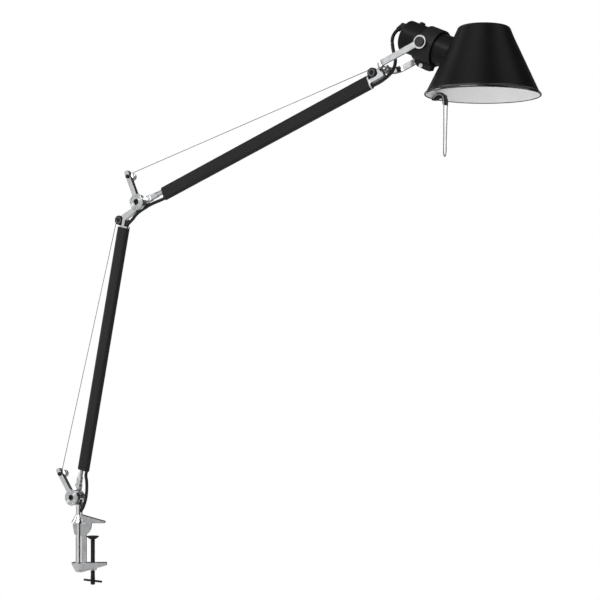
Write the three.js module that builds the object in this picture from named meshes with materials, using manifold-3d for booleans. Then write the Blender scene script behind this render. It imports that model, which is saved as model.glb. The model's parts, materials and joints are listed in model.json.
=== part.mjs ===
// Balanced two-arm desk lamp on a table clamp.
// Millimetres, +Z up. The arms stand in a plane parallel to XZ and reach towards +X,
// and the clamp below them is turned about the post.
// The origin is on the underside of the clamp's upper jaw, on the axis of the clamp screw,
// so the top of the table that the lamp is clamped to is the plane z = 0.
import * as THREE from 'three';
import { mergeVertices } from 'three/addons/utils/BufferGeometryUtils.js';
import Module from 'manifold-3d';

const wasm = await Module();
wasm.setup();

// ---------- driving dimensions ----------
const GAP = 0.3;                 // clearance between pieces that touch
const DEG = Math.PI / 180;

// clamp, drawn with its screw at the origin, its post behind it and its jaws along X
const CLAMP_TURN = 33;           // from the arms' plane
const CLAMP_POST = -24.5;        // axis of the post and of the two round bosses of the jaws
const POST_R = 6;
const SPIGOT_R = 3.5;
const BOSS_R = 13.8;
const JAW_RIM = 2.5;             // height of the straight edge below the cones
const CONE_TOP = 15.7;
const LOWER_JAW_Z = -71;         // top face of the lower jaw
const LOWER_CONE_Z = -88;
const LOWER_CONE_R = 6.2;
const TONGUE_HALF = 8;
const COLUMN_R = 6.6;
const COLUMN_BACK = CLAMP_POST + 13.2;
const FIN_HALF = 4.6;            // half width of the flat part behind the column's round nose
const COLUMN_WALL = 1.7;
const TIE_X = CLAMP_POST + 7.4;
const SCREW_R = 4;
const SCREW_BOTTOM = -111;
const BAR_Z = -104;
const BAR_LENGTH = 45;
const BAR_TURN = -39;            // the bar lies across the clamp
const PAD_TOP = -23.5;
const PAD_R = 11.2;

// shoulder and elbow joints, which share one design
const POST_X = -32;              // the post's axis in the frame of the arms
const SHOULDER = [-38.7, 46.4];  // x and z of the shoulder axis in the same frame
const DISC_R = 14.5;
const DISC_FRONT = -15.2;
const PLATE_FRONT = -12.6;       // front plate of the yoke, which also carries the lever
const PLATE_BACK = -5.2;
const EAR_FRONT = 5.2;           // rear ear of the yoke
const EAR_BACK = 9;
const LEVER = 50.3;              // joint axis to the wire anchor
const LEVER_WIDTH = 9;
const LEVER_END = 6.9;           // the lever runs on past the anchor before it rounds off
const SHOULDER_LEVER_ANGLE = 124.5;
const ELBOW_LEVER_ANGLE = 36;  // from the lower tube's direction
const DRUM_R = 6.7;
const DRUM_HALF = 4.6;
const LUG_R = 8.6;
const LUG_HALF = 4.4;
const BOLT_R = 3;

// arms: x runs along the tube from the joint axis, z is across it towards the tension wire
const LOWER_ANGLE = 77.9;
const UPPER_ANGLE = 20.7;
const TUBE_START = 51.5;
const TUBE_LENGTH = 442.5;
const TUBE_END = TUBE_START + TUBE_LENGTH;
const TUBE_Z = -5.9;
const TUBE_WIDTH = 24.4;
const TUBE_THICK = 10.8;
const TUBE_WALL = 0.9;
const ROD_Z = TUBE_Z + 4.9;
const ROD_R = 4.3;
const ROD_INNER_R = 3.6;         // the rod is thinner inside the tube
const CABLE_R = 2.8;
const CABLE_Z = TUBE_Z - 7.6;
const PULLEY = [TUBE_END + 11.3, TUBE_Z + 11.2];
const PULLEY_R = 8.25;
const PULLEY_HALF = 5.3;
const STEM_BOTTOM = -9.5;        // the end fitting's stem passes below the pulley
const STEM_TOP = -3.6;
const WIRE_R = 0.6;
const WIRE_TURN_R = 7.3;         // radius of the wire's own centre line on the pulley
const ELBOW_LOCAL = [543.5, -35.4];   // elbow axis in the lower arm's frame
const HEAD_LOCAL = [613.8, 0.5];      // head pivot in the upper arm's frame
const FORK_BASE = 524;
const FORK_INSIDE = 30;
const FORK_OUTSIDE = 34;

// head: x runs along the housing towards the shade, z is away from the rim
const HEAD_ANGLE = -24.5;
const HOUSING_R = 25.5;
const HOUSING_WALL = 2;
const HOUSING_BACK = -42;
const HOUSING_FRONT = 58;
const RING_R = 29.4;
const RING_FRONT = 19.5;
const SHADE_X = 776;
const RIM_Z = 700.9;
const SHADE_TILT = 1.3;          // the rim dips away from the arms
const RIM_R = 90;
const SHADE_TOP_R = 41;
const SHADE_HEIGHT = 106;
const SHADE_WALL = 1.4;
const HANDLE_X = -64.2;          // from the rim's centre, like the height of its tip
const HANDLE_TIP_Z = -91.6;

// ---------- materials ----------
const finish = (color, roughness, metalness) =>
  new THREE.MeshStandardMaterial({ color, roughness, metalness });
const polished = finish(0xd9dadc, 0.16, 1);
const brightSteel = finish(0xc4c6c8, 0.25, 1);
const springSteel = finish(0x8f9194, 0.4, 1);
const blackAluminium = finish(0x2f3032, 0.5, 0.2);
const blackPaint = finish(0x1f2022, 0.45, 0);
const blackPlastic = finish(0x222224, 0.55, 0);
const blackSteel = finish(0x1b1b1c, 0.4, 0.6);
const blackCable = finish(0x151516, 0.5, 0);
const whitePlastic = finish(0xe9e7e1, 0.35, 0);
const opalGlass = finish(0xf3f1ea, 0.2, 0);

// ---------- geometry helpers ----------
function toSolid(geometry) {
  const bare = geometry.clone();
  bare.deleteAttribute('normal');
  bare.deleteAttribute('uv');
  const merged = mergeVertices(bare, 1e-4);
  const index = merged.index.array;
  const kept = [];
  for (let i = 0; i < index.length; i += 3) {
    const [a, b, c] = [index[i], index[i + 1], index[i + 2]];
    if (a !== b && b !== c && c !== a) kept.push(a, b, c);
  }
  const vertProperties = new Float32Array(merged.attributes.position.array);
  return new wasm.Manifold(new wasm.Mesh({ numProp: 3, vertProperties, triVerts: new Uint32Array(kept) }));
}

function toGeometry(solid) {
  const mesh = solid.getMesh();
  const geometry = new THREE.BufferGeometry();
  geometry.setAttribute('position', new THREE.BufferAttribute(new Float32Array(mesh.vertProperties), 3));
  geometry.setIndex(new THREE.BufferAttribute(new Uint32Array(mesh.triVerts), 1));
  return geometry;
}

// one body from several, less the tools
function shape(bodies, tools = []) {
  const joined = bodies.map(toSolid).reduce((all, next) => all.add(next));
  return toGeometry(tools.map(toSolid).reduce((all, next) => all.subtract(next), joined));
}

const outline = (points) => new THREE.Shape(points.map(([x, z]) => new THREE.Vector2(x, z)));

// a flat outline in the XZ plane, extruded along Y from one plane to the other
function plate(flat, front, back, curveSegments = 10) {
  const depth = back - front;
  const geometry = new THREE.ExtrudeGeometry(flat, { depth, bevelEnabled: false, curveSegments });
  return geometry.rotateX(Math.PI / 2).translate(0, back, 0);
}

// a flat outline in the XY plane, extruded upwards
function prism(flat, bottom, top, curveSegments = 10) {
  const depth = top - bottom;
  const geometry = new THREE.ExtrudeGeometry(flat, { depth, bevelEnabled: false, curveSegments });
  return geometry.translate(0, 0, bottom);
}

// a box from its lowest and its highest corner
function block([x0, y0, z0], [x1, y1, z1]) {
  const geometry = new THREE.BoxGeometry(x1 - x0, y1 - y0, z1 - z0);
  return geometry.translate((x0 + x1) / 2, (y0 + y1) / 2, (z0 + z1) / 2);
}

// a straight round bar between two points, which may taper
function bar(from, to, radius, sides = 20, endRadius = radius) {
  const start = new THREE.Vector3(...from);
  const run = new THREE.Vector3(...to).sub(start);
  const length = run.length();
  const geometry = new THREE.CylinderGeometry(endRadius, radius, length, sides);
  const turn = new THREE.Quaternion().setFromUnitVectors(new THREE.Vector3(0, 1, 0), run.normalize());
  return geometry.translate(0, length / 2, 0).applyQuaternion(turn).translate(...from);
}

// a turned piece: [radius, height] pairs from axis to axis, or a closed ring of them
function turned(profile, sides = 32) {
  const points = profile.map(([radius, height]) => new THREE.Vector2(radius, height));
  if (THREE.ShapeUtils.area(points) < 0) points.reverse();
  return new THREE.LatheGeometry(points, sides).rotateX(Math.PI / 2);
}
const ring = (profile, sides) => turned([...profile, profile[0]], sides);
const alongX = (geometry) => geometry.rotateY(Math.PI / 2);
const alongY = (geometry) => geometry.rotateX(-Math.PI / 2);

const polygon = (radius, sides) =>
  outline(Array.from({ length: sides }, (_, i) => {
    const turn = (i + 0.5) * 2 * Math.PI / sides;
    return [radius * Math.cos(turn), radius * Math.sin(turn)];
  }));

function tube(path, radius, sides, steps) {
  const settings = { steps, extrudePath: path, bevelEnabled: false };
  return new THREE.ExtrudeGeometry(polygon(radius, sides), settings);
}
const smooth = (points) => new THREE.CatmullRomCurve3(points.map((p) => new THREE.Vector3(...p)));

// a long outline with round ends, along Z and centred on one height
function stadium(Type, width, thickness, centre) {
  const reach = (width - thickness) / 2;
  const flat = new Type();
  flat.absarc(0, centre + reach, thickness / 2, 0, Math.PI, false);
  flat.absarc(0, centre - reach, thickness / 2, Math.PI, 2 * Math.PI, false);
  flat.closePath();
  return flat;
}
// the tube's own outline, or one that lies inside it by `inset`
const tubeOutline = (Type, inset = 0) =>
  stadium(Type, TUBE_WIDTH - 2 * inset, TUBE_THICK - 2 * inset, TUBE_Z);
// such an outline lies in YZ and is drawn out along X
function alongArm(flat, from, to) {
  const settings = { depth: to - from, bevelEnabled: false, curveSegments: 5 };
  const geometry = new THREE.ExtrudeGeometry(flat, settings);
  return geometry.rotateX(Math.PI / 2).rotateZ(Math.PI / 2).translate(from, 0, 0);
}

const lamp = new THREE.Group();
const clamp = new THREE.Group();
clamp.rotation.z = CLAMP_TURN * DEG;
lamp.add(clamp);

// everything above the clamp stands on the post
const stand = new THREE.Group();
stand.position.x = CLAMP_POST * Math.cos(CLAMP_TURN * DEG) - POST_X;
stand.position.y = CLAMP_POST * Math.sin(CLAMP_TURN * DEG);
lamp.add(stand);

function add(parent, name, material, geometry) {
  const mesh = new THREE.Mesh(geometry, material);
  mesh.name = name;
  parent.add(mesh);
}

// ---------- clamp ----------
// the column is a drawn section with a round nose and a flat fin behind it, open inside
function columnSection(Type, inset) {
  const radius = COLUMN_R - inset;
  const half = FIN_HALF - inset;
  const back = COLUMN_BACK - inset;
  const corner = Math.asin(half / radius);
  const flat = new Type();
  flat.moveTo(back, -half);
  flat.lineTo(back, half);
  flat.lineTo(CLAMP_POST + radius * Math.cos(corner), half);
  flat.absarc(CLAMP_POST, 0, radius, corner, 2 * Math.PI - corner, false);
  flat.closePath();
  return flat;
}

function clampJaws() {
  const boss = turned([[0, 0], [BOSS_R, 0], [BOSS_R, JAW_RIM], [POST_R + 0.2, CONE_TOP],
    [0, CONE_TOP]], 28).translate(CLAMP_POST, 0, 0);
  const tongue = plate(outline([[CLAMP_POST, 0], [22.1, 0], [22.1, 3.2], [1.9, 8.8], [-17.9, 14.6],
    [CLAMP_POST, 14.6]]), -TONGUE_HALF, TONGUE_HALF);
  const neck = plate(outline([[-35.2, 0.5], [-35.2, -6], [-32.5, -20], [-13.4, -23.4], [-6.9, -17],
    [-3.4, -11], [-2.4, -5], [-2.4, 0.5]]), -6.2, 6.2);
  const columnRoom = prism(columnSection(THREE.Shape, -GAP), -30, 0, 9);
  const bushingBore = bar([CLAMP_POST, 0, -1], [CLAMP_POST, 0, 13], 4.9, 18);
  const spigotBore = bar([CLAMP_POST, 0, 12], [CLAMP_POST, 0, 17], SPIGOT_R + 0.2, 18);
  const tieThread = bar([TIE_X, 0, -1], [TIE_X, 0, 8], 2.1, 12);
  add(clamp, 'clamp_upper_jaw', polished,
    shape([boss, tongue, neck], [columnRoom, bushingBore, spigotBore, tieThread]));

  const lowerBoss = turned([[0, LOWER_CONE_Z], [LOWER_CONE_R, LOWER_CONE_Z], [BOSS_R, LOWER_JAW_Z - JAW_RIM],
    [BOSS_R, LOWER_JAW_Z], [0, LOWER_JAW_Z]], 28).translate(CLAMP_POST, 0, 0);
  const lowerTongue = plate(outline([[CLAMP_POST, LOWER_CONE_Z], [-18.5, LOWER_CONE_Z], [0.3, -82.6],
    [24.7, -75.8], [24.7, LOWER_JAW_Z], [CLAMP_POST, LOWER_JAW_Z]]), -TONGUE_HALF, TONGUE_HALF);
  const nutBoss = bar([0, 0, -75], [0, 0, -82], 8, 20);
  const nutBore = bar([0, 0, -90], [0, 0, -70], 6.3, 18);
  const nutSink = bar([0, 0, -90], [0, 0, -82.1], 7.1, 18);
  const tieHole = bar([TIE_X, 0, -90], [TIE_X, 0, -70], 2.3, 12);
  const tieSink = bar([TIE_X, 0, -90], [TIE_X, 0, -84], 3.9, 16);
  add(clamp, 'clamp_lower_jaw', polished,
    shape([lowerBoss, lowerTongue, nutBoss], [nutBore, nutSink, tieHole, tieSink]));
}

function clampColumn() {
  const section = columnSection(THREE.Shape, 0);
  section.holes.push(columnSection(THREE.Path, COLUMN_WALL));
  add(clamp, 'clamp_column', polished, prism(section, LOWER_JAW_Z + GAP, -GAP, 12));
  add(clamp, 'clamp_thread_insert', brightSteel, ring([[SCREW_R + GAP, -71.3], [6, -71.3], [6, -82.4],
    [6.8, -82.4], [6.8, -84.8], [SCREW_R + GAP, -84.8]], 18));
  const tieHead = bar([TIE_X, 0, -87.6], [TIE_X, 0, -84.3], 3.5, 16);
  const tieShank = bar([TIE_X, 0, -85], [TIE_X, 0, 7.5], 1.8, 12);
  const tieSocket = bar([TIE_X, 0, -88], [TIE_X, 0, -86], 1.5, 6);
  add(clamp, 'clamp_tie_bolt', brightSteel, shape([tieHead, tieShank], [tieSocket]));
  add(clamp, 'post_bushing', blackPlastic, ring([[SPIGOT_R + 0.2, -19], [4.6, -19], [4.6, 12.7],
    [SPIGOT_R + 0.2, 12.7]], 18).translate(CLAMP_POST, 0, 0));
}

function clampScrew() {
  add(clamp, 'clamp_pad', blackPlastic, turned([[0, PAD_TOP - 2.9], [2.7, PAD_TOP - 2.9],
    [2.7, PAD_TOP - 6.1], [4.8, PAD_TOP - 6.1], [PAD_R, PAD_TOP - 1.3], [PAD_R, PAD_TOP], [0, PAD_TOP]], 24));
  const screw = turned([[0, SCREW_BOTTOM], [3.2, SCREW_BOTTOM], [SCREW_R, SCREW_BOTTOM + 0.8],
    [SCREW_R, PAD_TOP - 7.7], [2.4, PAD_TOP - 6.4], [2.4, PAD_TOP - 3.3], [0, PAD_TOP - 3.3]], 16);
  const barHole = bar([-6, 0, BAR_Z], [6, 0, BAR_Z], 2.3, 12);
  add(clamp, 'clamp_screw', blackSteel, shape([screw], [barHole]).rotateZ(BAR_TURN * DEG));
  const half = BAR_LENGTH / 2;
  const end = [[1.2, half], [2, half - 1]];
  const mirrored = end.map(([radius, x]) => [radius, -x]);
  add(clamp, 'clamp_tommy_bar', blackSteel, alongX(turned([[0, -half], ...mirrored, ...end.reverse(),
    [0, half]], 12)).translate(0, 0, BAR_Z).rotateZ(BAR_TURN * DEG));
}

// ---------- yoke hardware shared by the shoulder and the elbow ----------
// drawn about the joint axis at the local origin, with the lever pointing along `angle`
const leverPoint = (distance, angle) =>
  [distance * Math.cos(angle * DEG), distance * Math.sin(angle * DEG)];

function leverSolids(angle) {
  const arm = new THREE.Shape();
  arm.moveTo(0, -LEVER_WIDTH / 2);
  arm.lineTo(LEVER + LEVER_END, -LEVER_WIDTH / 2);
  arm.absarc(LEVER + LEVER_END, 0, LEVER_WIDTH / 2, -Math.PI / 2, Math.PI / 2, false);
  arm.lineTo(0, LEVER_WIDTH / 2);
  arm.closePath();
  return [
    plate(arm, PLATE_FRONT, PLATE_BACK).rotateY(-angle * DEG),
    bar([0, PLATE_FRONT, 0], [0, PLATE_BACK, 0], DISC_R - 1, 24),
    bar([0, EAR_FRONT, 0], [0, EAR_BACK, 0], 11, 20),
  ];
}

function leverHoles(angle) {
  const [x, z] = leverPoint(LEVER, angle);
  return [
    bar([0, -20, 0], [0, 20, 0], BOLT_R + GAP, 16),
    bar([x, -20, z], [x, 0, z], 2.6, 12),
  ];
}

function yokeHardware(parent, joint, angle) {
  const [x, z] = leverPoint(LEVER, angle);
  const face = PLATE_FRONT - GAP;
  add(parent, `${joint}_disc`, polished, alongY(ring([[5.3, DISC_FRONT], [DISC_R - 0.6, DISC_FRONT],
    [DISC_R, DISC_FRONT + 0.6], [DISC_R, face], [5.3, face]], 28)));
  const head = bar([0, DISC_FRONT, 0], [0, face, 0], 5, 24);
  const shank = bar([0, face - 0.2, 0], [0, 14.4, 0], BOLT_R, 16);
  const socket = bar([0, DISC_FRONT - 1, 0], [0, DISC_FRONT + 2, 0], 2.4, 6);
  add(parent, `${joint}_pivot_bolt`, brightSteel, shape([head, shank], [socket]));
  const washer = bar([0, EAR_BACK + GAP, 0], [0, EAR_BACK + 2.5, 0], 11, 28);
  const hex = bar([0, EAR_BACK + 2.4, 0], [0, 15.2, 0], 5.8, 6);
  const nutBore = bar([0, 8, 0], [0, 17, 0], BOLT_R + GAP, 16);
  add(parent, `${joint}_pivot_nut`, brightSteel, shape([washer, hex], [nutBore]));
  const drumFront = PLATE_BACK + GAP;
  add(parent, `${joint}_wire_drum`, polished, alongY(ring([[2.6, drumFront], [DRUM_R, drumFront],
    [DRUM_R, -1], [DRUM_R - 1.2, -0.5], [DRUM_R - 1.2, 0.5], [DRUM_R, 1], [DRUM_R, DRUM_HALF],
    [2.6, DRUM_HALF]], 16)).translate(x, 0, z));
  const pinHead = bar([x, -15, z], [x, face, z], 3.5, 20);
  const pin = bar([x, face - 0.2, z], [x, DRUM_HALF + 0.6, z], 2.3, 12);
  add(parent, `${joint}_wire_pin`, blackSteel, shape([pinHead, pin]));
}

// ---------- swivel post with the shoulder yoke ----------
function swivelPost() {
  const shoulder = new THREE.Group();
  shoulder.position.set(SHOULDER[0], 0, SHOULDER[1]);
  stand.add(shoulder);
  const offset = POST_X - SHOULDER[0];
  const foot = -SHOULDER[1];
  const spigot = bar([offset, 0, foot - 20], [offset, 0, foot + 17], SPIGOT_R, 18);
  const post = bar([offset, 0, foot + CONE_TOP + GAP], [offset, 0, -9.4], POST_R, 24);
  const bridge = block([offset - 8, PLATE_FRONT + 1, -13], [offset + 5.4, EAR_BACK, -9.4]);
  const lugRoom = bar([0, -4.9, 0], [0, 4.9, 0], LUG_R + 0.9, 24);
  const inlet = bar([offset + 11.5, 0, foot + 30.3], [offset + 3, 0, foot + 20.7], CABLE_R + 0.7, 12);
  add(shoulder, 'swivel_post', polished, shape(
    [spigot, post, bridge, ...leverSolids(SHOULDER_LEVER_ANGLE)],
    [lugRoom, inlet, ...leverHoles(SHOULDER_LEVER_ANGLE)]));
  yokeHardware(shoulder, 'shoulder', SHOULDER_LEVER_ANGLE);
}

// a point of an arm's or the head's plane, in the stand's frame
function armPoint(frame, x, z) {
  frame.updateMatrix();
  const point = new THREE.Vector3(x, 0, z).applyMatrix4(frame.matrix);
  return [point.x, 0, point.z];
}

// ---------- arm, the same for the lower and the upper one ----------
const tubeBar = (z, radius, from, to, sides) => bar([from, 0, z], [to, 0, z], radius, sides);

class Helix extends THREE.Curve {
  constructor(start, length, radius, turns) {
    super();
    Object.assign(this, { start, length, radius, turns });
  }

  getPoint(t, target = new THREE.Vector3()) {
    const angle = 2 * Math.PI * this.turns * t;
    return target.set(this.start + this.length * t, this.radius * Math.cos(angle),
      ROD_Z + this.radius * Math.sin(angle));
  }
}

// the closing plate of the tube's far end, with its plug and the cheek that holds the pulley
function endCap() {
  const plug = tubeOutline(THREE.Shape, TUBE_WALL + GAP);
  const cheek = new THREE.Shape();
  cheek.moveTo(TUBE_END + 1, STEM_BOTTOM);
  cheek.lineTo(TUBE_END + 15, STEM_BOTTOM);
  cheek.lineTo(PULLEY[0] + 5, PULLEY[1]);
  cheek.absarc(PULLEY[0], PULLEY[1], 5, 0, Math.PI, false);
  cheek.closePath();
  return {
    solids: [
      alongArm(tubeOutline(THREE.Shape), TUBE_END + GAP, TUBE_END + 2.9),
      alongArm(plug, TUBE_END - 8, TUBE_END + 1),
      plate(cheek, PULLEY_HALF + GAP, PULLEY_HALF + 3),
      block([TUBE_END + 1, 3.5, STEM_BOTTOM], [TUBE_END + 15, PULLEY_HALF + 3, STEM_TOP - 0.4]),
    ],
    holes: [
      tubeBar(CABLE_Z, CABLE_R + GAP, TUBE_END - 10, TUBE_END + 6, 12),
      tubeBar(PULLEY[1] - WIRE_TURN_R, 1.1, TUBE_END - 10, TUBE_END + 6, 8),
      bar([PULLEY[0], 0, PULLEY[1]], [PULLEY[0], 12, PULLEY[1]], 2.3, 12),
    ],
  };
}

function arm(frame, name, leverTip) {
  const tubeShape = tubeOutline(THREE.Shape);
  tubeShape.holes.push(tubeOutline(THREE.Path, TUBE_WALL));
  add(frame, `${name}_tube`, blackAluminium, alongArm(tubeShape, TUBE_START, TUBE_END));

  // the foot plug guides the rod and the cable into the tube
  const plug = alongArm(tubeOutline(THREE.Shape, TUBE_WALL + GAP), TUBE_START + 0.5, TUBE_START + 12);
  add(frame, `${name}_foot_plug`, blackPlastic, shape([plug], [
    tubeBar(ROD_Z, ROD_INNER_R + GAP, TUBE_START - 2, TUBE_START + 14, 20),
    tubeBar(CABLE_Z, CABLE_R + GAP, TUBE_START - 2, TUBE_START + 14, 12),
  ]));

  // the foot is the rod with the flattened eye that turns on the joint's bolt
  add(frame, `${name}_foot`, polished, shape([
    bar([0, -LUG_HALF, 0], [0, LUG_HALF, 0], LUG_R, 24),
    block([2, -LUG_HALF, -6], [24, LUG_HALF, 4.4]),
    block([22, -3.6, -5.2], [38, 3.6, 3.2]),
    tubeBar(ROD_Z, ROD_R, 36, TUBE_START - 0.3, 20),
    tubeBar(ROD_Z, ROD_INNER_R, TUBE_START - 1, TUBE_START + 30, 20),
  ], [
    bar([0, -8, 0], [0, 8, 0], BOLT_R + 0.1, 16),
    bar([TUBE_START + 26, -8, ROD_Z], [TUBE_START + 26, 8, ROD_Z], 1.4, 10),
  ]));

  const springStart = TUBE_START + 32;
  const springLength = 210;
  add(frame, `${name}_spring`, springSteel, tube(new Helix(springStart, springLength, 3, 9), 0.8, 4, 54));

  // the wire turns over the pulley and runs back into the tube to the spring
  const [px, pz] = PULLEY;
  const [tx, tz] = leverTip;
  const slope = Math.atan2(pz - tz, px - tx);
  const lean = Math.asin((WIRE_TURN_R - DRUM_R) / Math.hypot(px - tx, pz - tz));
  const normal = [-Math.sin(slope + lean), Math.cos(slope + lean)];
  const drumEnd = [tx + normal[0] * DRUM_R, 0, tz + normal[1] * DRUM_R];
  const pulleyEnd = [px + normal[0] * WIRE_TURN_R, 0, pz + normal[1] * WIRE_TURN_R];
  add(frame, `${name}_tension_wire`, brightSteel, bar(drumEnd, pulleyEnd, WIRE_R, 6));
  const turnStart = Math.atan2(normal[1], normal[0]) - 0.06;
  const turn = turnStart + Math.PI / 2;
  const turnPoints = Array.from({ length: 9 }, (_, i) => {
    const angle = turnStart - turn * i / 8;
    return [px + WIRE_TURN_R * Math.cos(angle), 0, pz + WIRE_TURN_R * Math.sin(angle)];
  });
  add(frame, `${name}_inner_wire`, brightSteel, shape([
    tube(smooth(turnPoints), WIRE_R, 6, 12),
    bar([springStart + springLength + 2, 0, pz - WIRE_TURN_R], [px + 0.5, 0, pz - WIRE_TURN_R], WIRE_R, 6),
  ]));

  // the pulley and the axle it turns on
  add(frame, `${name}_pulley`, blackPlastic, alongY(ring([[2.3, -PULLEY_HALF],
    [PULLEY_R - 0.8, -PULLEY_HALF], [PULLEY_R, -PULLEY_HALF + 0.8], [PULLEY_R, -1.3], [6.5, -0.9],
    [6.5, 0.9], [PULLEY_R, 1.3], [PULLEY_R, PULLEY_HALF], [2.3, PULLEY_HALF]], 20)).translate(px, 0, pz));
  add(frame, `${name}_pulley_axle`, blackSteel, shape([
    bar([px, -PULLEY_HALF - 0.9, pz], [px, -PULLEY_HALF - GAP, pz], 3.4, 20),
    bar([px, -PULLEY_HALF - 0.5, pz], [px, PULLEY_HALF + 3, pz], 2, 12),
  ]));
  add(frame, `${name}_cable`, blackCable, tubeBar(CABLE_Z, CABLE_R, TUBE_START + 1, TUBE_END + 1, 12));
}

// ---------- lower arm with the elbow yoke ----------
function lowerArm() {
  const frame = new THREE.Group();
  frame.position.set(SHOULDER[0], 0, SHOULDER[1]);
  frame.rotation.y = -LOWER_ANGLE * DEG;
  stand.add(frame);
  arm(frame, 'lower', leverPoint(LEVER, SHOULDER_LEVER_ANGLE - LOWER_ANGLE));

  // the link rises from the end cap and carries the yoke of the elbow
  const cap = endCap();
  const [ex, ez] = ELBOW_LOCAL;
  const link = outline([[TUBE_END + 1, STEM_BOTTOM], [TUBE_END + 13.5, STEM_BOTTOM],
    [TUBE_END + 17.2, -11.5], [ex - 15.7, ez + 4.5], [ex - 12.8, ez + 2.8], [ex - 7.5, ez + 9],
    [ex - 12.2, ez + 14.4], [TUBE_END + 22.7, -1.8], [TUBE_END + 19.3, 0.2],
    [TUBE_END + 16.5, STEM_TOP], [TUBE_END + 1, STEM_TOP]]);
  const linkToYoke = plate(link, -4.5, 4.5);
  const reach = outline([[ex - 12.8, ez + 2.8], [ex - 9, ez + 1.9], [ex - 6, ez + 7], [ex - 8.6, ez + 10]]);
  const yokeBridge = plate(reach, PLATE_BACK - 3, EAR_FRONT + 2);
  const lugRoom = bar([ex, -4.9, ez], [ex, 4.9, ez], LUG_R + 0.9, 24);
  const atElbow = (geometry) => geometry.translate(ex, 0, ez);
  add(frame, 'lower_end_fitting', polished, shape(
    [...cap.solids, linkToYoke, yokeBridge, ...leverSolids(ELBOW_LEVER_ANGLE).map(atElbow)],
    [...cap.holes, lugRoom, ...leverHoles(ELBOW_LEVER_ANGLE).map(atElbow)]));
  const elbow = new THREE.Group();
  elbow.position.set(ex, 0, ez);
  frame.add(elbow);
  yokeHardware(elbow, 'elbow', ELBOW_LEVER_ANGLE);
  return frame;
}

// ---------- upper arm with the fork for the head ----------
function forkOutline() {
  const tip = HEAD_LOCAL[0];
  const flat = new THREE.Shape();
  flat.moveTo(tip, -FORK_OUTSIDE);
  flat.lineTo(FORK_BASE + 21, -FORK_OUTSIDE);
  flat.bezierCurveTo(FORK_BASE + 9, -FORK_OUTSIDE, FORK_BASE + 2, -25, FORK_BASE, -7);
  flat.lineTo(FORK_BASE, 7);
  flat.bezierCurveTo(FORK_BASE + 2, 25, FORK_BASE + 9, FORK_OUTSIDE, FORK_BASE + 21, FORK_OUTSIDE);
  flat.lineTo(tip, FORK_OUTSIDE);
  flat.lineTo(tip, FORK_INSIDE);
  flat.lineTo(FORK_BASE + 22, FORK_INSIDE);
  flat.bezierCurveTo(FORK_BASE + 14, FORK_INSIDE, FORK_BASE + 8, 22, FORK_BASE + 6, 6);
  flat.lineTo(FORK_BASE + 6, -6);
  flat.bezierCurveTo(FORK_BASE + 8, -22, FORK_BASE + 14, -FORK_INSIDE, FORK_BASE + 22, -FORK_INSIDE);
  flat.lineTo(tip, -FORK_INSIDE);
  flat.closePath();
  return flat;
}

function upperArm(lowerFrame) {
  const frame = new THREE.Group();
  frame.position.set(...armPoint(lowerFrame, ...ELBOW_LOCAL));
  frame.rotation.y = -UPPER_ANGLE * DEG;
  stand.add(frame);
  arm(frame, 'upper', leverPoint(LEVER, LOWER_ANGLE + ELBOW_LEVER_ANGLE - UPPER_ANGLE));

  const cap = endCap();
  const tail = outline([[TUBE_END + 1, STEM_BOTTOM], [FORK_BASE - GAP, -8.8], [FORK_BASE - GAP, 8],
    [FORK_BASE - 3, 9], [TUBE_END + 21.4, 6], [TUBE_END + 20.6, -1.5], [TUBE_END + 16.5, STEM_TOP],
    [TUBE_END + 1, STEM_TOP]]);
  const screwHole = bar([FORK_BASE - 12, 0, 1], [FORK_BASE + 1, 0, 1], 2.8, 12);
  add(frame, 'upper_end_fitting', polished, shape([...cap.solids, plate(tail, -4.5, 4.5)],
    [...cap.holes, screwHole]));

  const [hx, hz] = HEAD_LOCAL;
  const prongs = prism(forkOutline(), hz - 4.8, hz + 4.8, 6);
  const eye = (side) => bar([hx, side * FORK_INSIDE, hz], [hx, side * FORK_OUTSIDE, hz], 10.8, 24);
  const pinHole = bar([hx, -40, hz], [hx, 40, hz], 4.3, 14);
  const baseHole = bar([FORK_BASE - 4, 0, 1], [FORK_BASE + 12, 0, 1], 2.8, 12);
  add(frame, 'head_fork', polished, shape([prongs, eye(-1), eye(1)], [pinHole, baseHole]));
  const head = bar([FORK_BASE + 6.3, 0, 1], [FORK_BASE + 10.3, 0, 1], 4.4, 20);
  const shank = bar([FORK_BASE - 9.2, 0, 1], [FORK_BASE + 7, 0, 1], 2.4, 12);
  const socket = bar([FORK_BASE + 8.3, 0, 1], [FORK_BASE + 12, 0, 1], 2, 6);
  add(frame, 'fork_screw', brightSteel, shape([head, shank], [socket]));
  return frame;
}

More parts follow.
